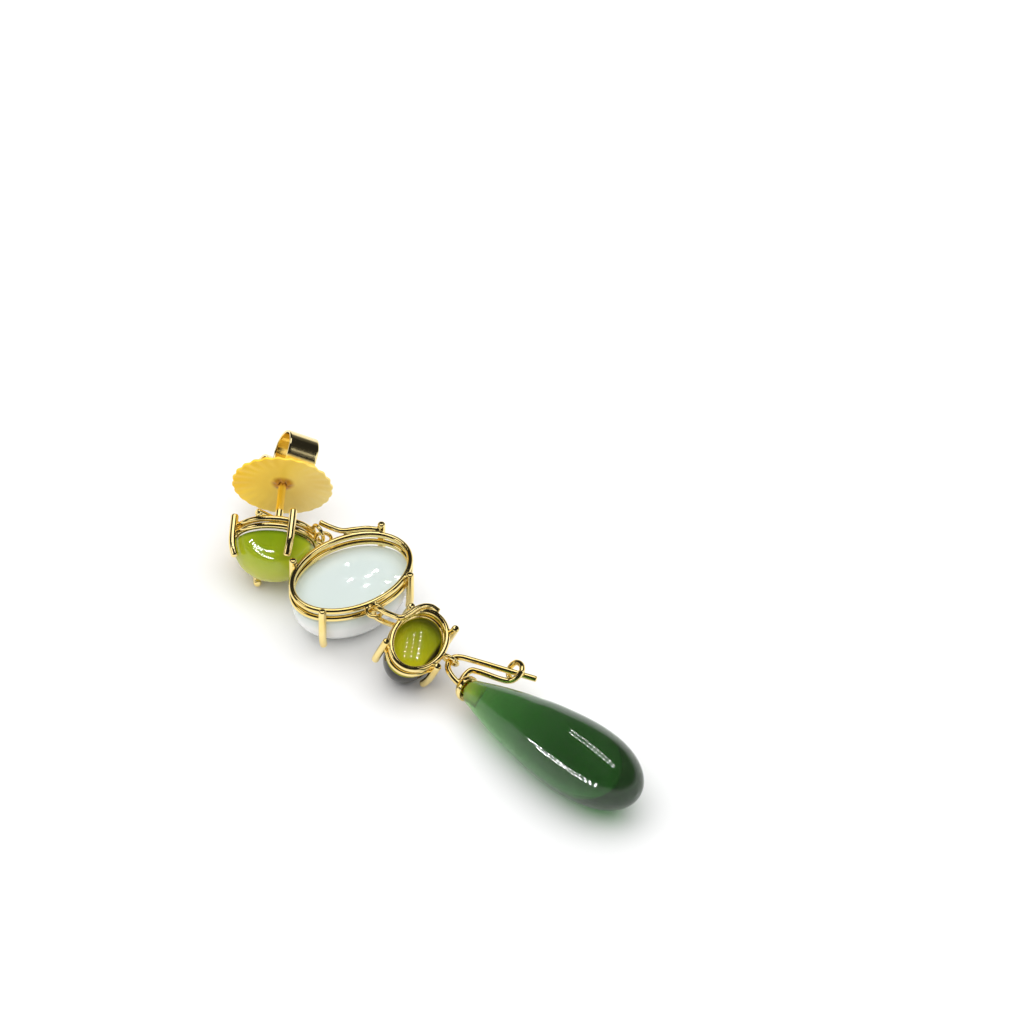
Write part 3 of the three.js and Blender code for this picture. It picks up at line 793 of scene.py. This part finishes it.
def clouded(finish, colour, scale=300, low=(0.86, 0.90, 0.84)):
    clouds = finish.colours(finish.noise(scale, 4, 0.55), [(0.3, low), (0.7, (1.0, 1.0, 1.0))])
    return finish.blend(1.0, colour, clouds, "MULTIPLY")


def peridot_finish():
    """Yellow-green glass, with painted shade round the girdle and painted light, paler towards the surface
    that it lies near.
    """
    finish = stone_finish("peridot", 0.3, 1.6)
    # Painted light: the body pales to beige towards the side near the surface it lies on, as light from
    # there would show it, and deepens to green towards the other side.
    body = finish.colours(finish.spread(finish.marked("across"), -1, 1, 0, 1), [
        (0.0, (0.90, 0.78, 0.50)), (0.2, (0.86, 0.80, 0.26)), (0.45, (0.78, 0.79, 0.08)),
        (0.75, (0.58, 0.67, 0.03)), (1.0, (0.30, 0.42, 0.01))])
    # Painted shade: the body is darkened round the girdle, where the ring shades it.
    girdle = finish.spread(finish.marked("depth"), 0.0, 0.16, 0.9, 0.0, smooth=True)
    body = finish.blend(girdle, body, (0.05, 0.11, 0.005))
    finish.drive("Base Color", clouded(finish, body))
    finish.set(Subsurface_Weight=0.4, Subsurface_Radius=(1.0, 1.0, 0.2), Subsurface_Scale=0.0012)
    finish.absorb((0.92, 0.93, 0.30), 150)
    return finish.material


def pale_finish():
    """Milky stone, cool on its back; its dome is painted nearly white, a painted light for the strong light
    on it.
    """
    finish = stone_finish("pale_stone")
    # Painted light: from the back down into the dome the colour turns nearly white, standing in for strong
    # light that leaves the dome burnt out; the cool back is the stone's own colour.
    body = finish.colours(finish.marked("depth"), [
        (0.0, (0.66, 0.73, 0.71)), (0.06, (0.72, 0.77, 0.74)), (0.3, (0.93, 0.94, 0.92)),
        (1.0, (0.97, 0.97, 0.95))])
    finish.drive("Base Color", clouded(finish, body, 170, (0.96, 0.98, 0.97)))
    finish.set(Subsurface_Weight=0.7, Subsurface_Radius=(1.0, 1.0, 1.0), Subsurface_Scale=0.0015)
    return finish.material


def olive_finish():
    """Olive stone, nearly black on its dome; its back is painted with the glow of light shining through it,
    with a painted shadow along one edge.
    """
    finish = stone_finish("olive_stone")
    finish.set(Specular_IOR_Level=0.3)
    # Painted light: the back is painted bright olive, as light shining through the stone shows it, brightest
    # at one end and dark at the other.
    back = finish.colours(finish.spread(finish.marked("along"), -1, 1, 0, 1), [
        (0.0, (0.50, 0.46, 0.01)), (0.45, (0.40, 0.39, 0.01)), (0.8, (0.24, 0.27, 0.01)),
        (1.0, (0.10, 0.10, 0.01))])
    # Painted shadow: a dark band along one long edge of the back, standing in for the shadow of the
    # setting's inner wall.
    right = finish.spread(finish.marked("across"), -0.75, -0.6, 1, 0, smooth=True)
    back = finish.blend(right, back, (0.02, 0.015, 0.004))
    dome = finish.spread(finish.marked("depth"), 0.02, 0.1, 0, 1, smooth=True)
    body = finish.blend(dome, back, (0.016, 0.013, 0.008))
    finish.drive("Base Color", clouded(finish, body))
    finish.set(Subsurface_Weight=0.2, Subsurface_Radius=(1.0, 1.0, 0.2), Subsurface_Scale=0.0004)
    return finish.material


def jade_finish():
    """Deep green stone; its neck and the wall of its bore are painted pale yellow, a painted glow that
    stands in for the gold peg seen through the stone.
    """
    finish = stone_finish("jade")
    # Painted glow: paler and yellower at the neck, over the peg's length, then deepening green along the
    # drop.
    body = finish.colours(finish.marked("along"), [
        (0.0, (0.86, 0.88, 0.50)), (0.10, (0.60, 0.78, 0.42)), (0.22, (0.46, 0.72, 0.38)),
        (0.6, (0.30, 0.60, 0.26)), (1.0, (0.26, 0.56, 0.22))])
    # Painted glow: the bore's wall is painted yellow and opaque, standing in for the gold peg seen through
    # the stone.
    bore = finish.marked("bore")
    finish.drive("Base Color", clouded(finish, finish.blend(bore, body, (0.85, 0.80, 0.10)), 240))
    finish.drive("Transmission Weight", finish.spread(bore, 0, 1, 0.93, 0))
    finish.set(Subsurface_Weight=0.5, Subsurface_Radius=(0.6, 1.0, 0.5), Subsurface_Scale=0.001)
    finish.absorb((0.30, 0.66, 0.22), 700)
    return finish.material


gold = gold_finish()
middle_stone = cabochon(MIDDLE_STONE, MIDDLE_BULGE)
top_stone = cabochon(TOP_STONE, TOP_BULGE)
lower_stone = cabochon(LOWER_STONE, LOWER_BULGE)
pieces = [place_piece(*row) for row in (
    ("MiddleSetting", middle_setting(), MIDDLE_FRAME, gold, "gold", "middle_setting"),
    ("TopSetting", top_setting(), TOP_FRAME, gold, "gold", "top_setting"),
    ("LowerSetting", lower_setting(), LOWER_FRAME, gold, "gold", "lower_setting"),
    ("DropClip", drop_clip(), CLIP_FRAME, gold, "gold", "drop_clip"),
    ("MiddleStone", middle_stone, MIDDLE_FRAME, pale_finish(), "pale_stone", "middle_stone"),
    ("TopStone", top_stone, TOP_FRAME, peridot_finish(), "peridot", "top_stone"),
    ("LowerStone", lower_stone, LOWER_FRAME, olive_finish(), "olive_stone", "lower_stone"),
    ("JadeDrop", jade_drop(), DROP_FRAME, jade_finish(), "jade", "jade_drop"),
    ("EarClutch", ear_clutch(), CLUTCH_FRAME, satin_gold_finish(), "satin_gold", "ear_clutch", "clutch"),
)]
METAL_PIECES = ["MiddleSetting", "TopSetting", "LowerSetting", "DropClip", "EarClutch"]


# Floor, light and camera

def floor():
    mesh = bmesh.new()
    bmesh.ops.create_grid(mesh, x_segments=8, y_segments=8, size=1.5)
    data = bpy.data.meshes.new("Floor")
    mesh.to_mesh(data)
    mesh.free()
    obj = bpy.data.objects.new("Floor", data)
    bpy.context.scene.collection.objects.link(obj)
    obj.location.z = -0.0001
    finish = Finish("paper")
    finish.drive("Base Color", finish.colours(
        finish.noise(60, 4), [(0.3, (0.90, 0.90, 0.90)), (0.7, (0.92, 0.92, 0.92))]))
    finish.set(Roughness=0.9, Specular_IOR_Level=0.1)
    data.materials.append(finish.material)


def camera_back():
    azimuth, elevation = math.radians(CAMERA_AZIMUTH), math.radians(CAMERA_ELEVATION)
    return Vector((math.sin(azimuth) * math.cos(elevation), -math.cos(azimuth) * math.cos(elevation),
                   math.sin(elevation)))


# How far the small lamps stand, and the point of the chain that the large ones light
LAMP_DISTANCE = 0.5
LIGHT_AIM = Vector((10, -8, 3))
BOX_DISTANCE = 0.9
SMALLEST_LAMP = 0.001


def lamp(name, place, turn, size, power, shape="RECTANGLE"):
    light = bpy.data.lights.new(name, "AREA")
    light.shape = shape
    light.size, light.size_y = size
    light.energy = power
    obj = bpy.data.objects.new(name, light)
    bpy.context.scene.collection.objects.link(obj)
    obj.matrix_world = Matrix.Translation(place) @ turn.to_4x4()
    obj.visible_camera = False
    return obj


def soft_box(name, direction, distance, size, radiance):
    """Large lamp seen from the chain in a direction of its frame."""
    aim = CHAIN @ LIGHT_AIM
    toward = (CHAIN.to_3x3() @ Vector(direction)).normalized()
    turn = toward.to_track_quat("Z", "Y").to_matrix()
    return lamp(name, aim + toward * distance, turn, size, radiance * math.pi * size[0] * size[1])


def light_only(lamps, names):
    """Keeps the light of some lamps on the pieces of these names."""
    lit = bpy.data.collections.new("lit_" + lamps[0].name)
    for piece in pieces:
        if piece.name in names:
            lit.objects.link(piece)
    for light in lamps:
        light.light_linking.receiver_collection = lit


def mirror_lamps(name, surface, spots, dot, radiance):
    """Small lamps that the polished surface shows to the camera as dots at the spots."""
    lamps = []
    back = camera_back()
    step = 0.01

    def toward(u, v):
        along = surface(u + step, v) - surface(u - step, v)
        normal = along.cross(surface(u, v + step) - surface(u, v - step)).normalized()
        if normal.dot(back) < 0:
            normal.negate()
        return normal * 2 * normal.dot(back) - back

    for u, v in spots:
        aim = toward(u, v)
        along = (toward(u + step, v) - aim) / step
        across = (toward(u, v + step) - aim) / step
        right = along.normalized()
        up = aim.cross(right).normalized()
        turn = Matrix((right, up, aim)).transposed()
        size = [max(slope.length * share * LAMP_DISTANCE, SMALLEST_LAMP)
                for slope, share in zip((along, across), dot)]
        power = radiance * math.pi * size[0] * size[1]
        light = lamp(name + "_glint", surface(u, v) + aim * LAMP_DISTANCE, turn, size, power, "ELLIPSE")
        light.visible_diffuse = light.visible_transmission = light.visible_volume_scatter = False
        lamps.append(light)
    light_only(lamps, [name])


def back_surface(matrix, stone, bulge):
    def surface(along, across):
        rise_of = bulge * (1 - (along * along + across * across) / BACK_SHARE ** 2)
        return CHAIN @ matrix @ Vector((along * stone["length"] / 2, across * stone["width"] / 2, rise_of))
    return surface


def dome_surface(matrix, stone):
    def surface(along, across):
        share = min(math.hypot(along, across), 0.999)
        depth = stone["height"] * dome_width(stone, share * stone["height"])
        return CHAIN @ matrix @ Vector((along * stone["length"] / 2, across * stone["width"] / 2, -depth))
    return surface


def drop_surface(along, turn):
    outline = drop_outline()
    place = next(k for k, point in enumerate(outline) if point.y >= along * DROP["length"])
    before, after = outline[place - 1], outline[place]
    share = (along * DROP["length"] - before.y) / (after.y - before.y)
    radius = before.x + (after.x - before.x) * share
    return CHAIN @ DROP_FRAME @ Vector((radius * math.sin(turn), along * DROP["length"],
                                        radius * math.cos(turn)))


def between(first, last, count):
    return [first + (last - first) * k / (count - 1) for k in range(count)]


# Spots where small lamps show, in shares of each stone's half sizes or along and round the drop
MIDDLE_GLINTS = [
    (0.16, 0.50), (-0.02, 0.06), (0.41, -0.05), (0.25, -0.08), (0.09, -0.29), (0.40, -0.46), (0.21, -0.67),
    (0.60, -0.46), (0.90, -0.01),
]
DROP_FACING = 26.2       # turn of the drop's side that faces the camera


def glints():
    middle = back_surface(MIDDLE_FRAME, MIDDLE_STONE, MIDDLE_BULGE)
    mirror_lamps("MiddleStone", middle, MIDDLE_GLINTS, (0.06, 0.05), 120)
    olive = back_surface(LOWER_FRAME, LOWER_STONE, LOWER_BULGE)
    columns = [(share * 0.09, -share * 0.22) for share in (-1, 0, 1)]
    rows = list(zip(between(-0.40, 0.34, 7), between(-0.10, 0.34, 7)))
    spots = [(a + c, b + d) for a, b in rows for c, d in columns]
    mirror_lamps("LowerStone", olive, spots, (0.02, 0.035), 200)
    dome = dome_surface(TOP_FRAME, TOP_STONE)
    ladder = list(zip(between(0.54, -0.03, 11), between(0.79, 0.80, 11)))
    ladder += list(zip(between(0.45, -0.03, 10), between(0.75, 0.66, 10)))
    mirror_lamps("TopStone", dome, ladder, (0.010, 0.04), 80)
    streaks = []
    for low, high, shares in ((16, 23, (0.52, 0.88)), (20, 27, (0.56, 0.88))):
        for share, turn in zip(between(*shares, 15), between(low, high, 15)):
            streaks.append((share, math.radians(DROP_FACING + turn)))
    mirror_lamps("JadeDrop", drop_surface, streaks, (0.005, 0.04), 90)
    streaks = []
    for offset in (0, 5):
        for share, turn in zip(between(0.65, 0.9, 12), between(-30, -26, 12)):
            streaks.append((share, math.radians(DROP_FACING + turn + offset)))
    mirror_lamps("JadeDrop", drop_surface, streaks, (0.006, 0.03), 50)


def lights():
    glints()
    fill = soft_box("fill", (0, 0, 1), 1.2, (2.4, 2.4), 2.1)
    fill.visible_glossy = False
    boxes = [
        soft_box("left_box", (-0.82, -0.15, 0.55), BOX_DISTANCE, (0.4, 0.3), 1.5),
        soft_box("right_box", (0.80, -0.25, 0.50), BOX_DISTANCE, (0.35, 0.3), 1.4),
        soft_box("ceiling", (0.0, 0.30, 0.95), BOX_DISTANCE, (0.8, 0.6), 1.5),
    ]
    clutch_box = soft_box("clutch_box", (-0.20, -0.80, 0.40), BOX_DISTANCE, (0.5, 0.5), 4.5)
    clutch_box.visible_glossy = False
    light_only([clutch_box], ["EarClutch"])
    light_only(boxes, METAL_PIECES)
    world = bpy.data.worlds.new("studio")
    bpy.context.scene.world = world
    world.use_nodes = True
    nodes, links = world.node_tree.nodes, world.node_tree.links
    coordinates = nodes.new("ShaderNodeTexCoord")
    split = nodes.new("ShaderNodeSeparateXYZ")
    links.new(coordinates.outputs["Generated"], split.inputs["Vector"])
    sky = nodes.new("ShaderNodeValToRGB")
    sky.color_ramp.elements[0].color = (1.0, 1.0, 1.0, 1)
    sky.color_ramp.elements[1].color = (0.02, 0.02, 0.02, 1)
    for height, value in ((0.12, 1.0), (0.24, 0.12), (0.5, 0.02)):
        sky.color_ramp.elements.new(height).color = (value, value, value, 1)
    links.new(split.outputs["Z"], sky.inputs["Fac"])
    links.new(sky.outputs["Color"], nodes["Background"].inputs["Color"])
    nodes["Background"].inputs["Strength"].default_value = 1.0


def camera():
    data = bpy.data.cameras.new("camera")
    obj = bpy.data.objects.new("camera", data)
    bpy.context.scene.collection.objects.link(obj)
    data.sensor_width = 36
    data.lens = data.sensor_width * CAMERA_DISTANCE / CAMERA_WIDTH
    back = camera_back()
    obj.location = CHAIN @ CAMERA_AIM + back * CAMERA_DISTANCE
    obj.rotation_euler = (-back).to_track_quat("-Z", "Y").to_euler()
    data.clip_start, data.clip_end = 0.1, 20
    bpy.context.scene.camera = obj


floor()
lights()
camera()
bpy.context.scene.view_settings.view_transform = "Standard"
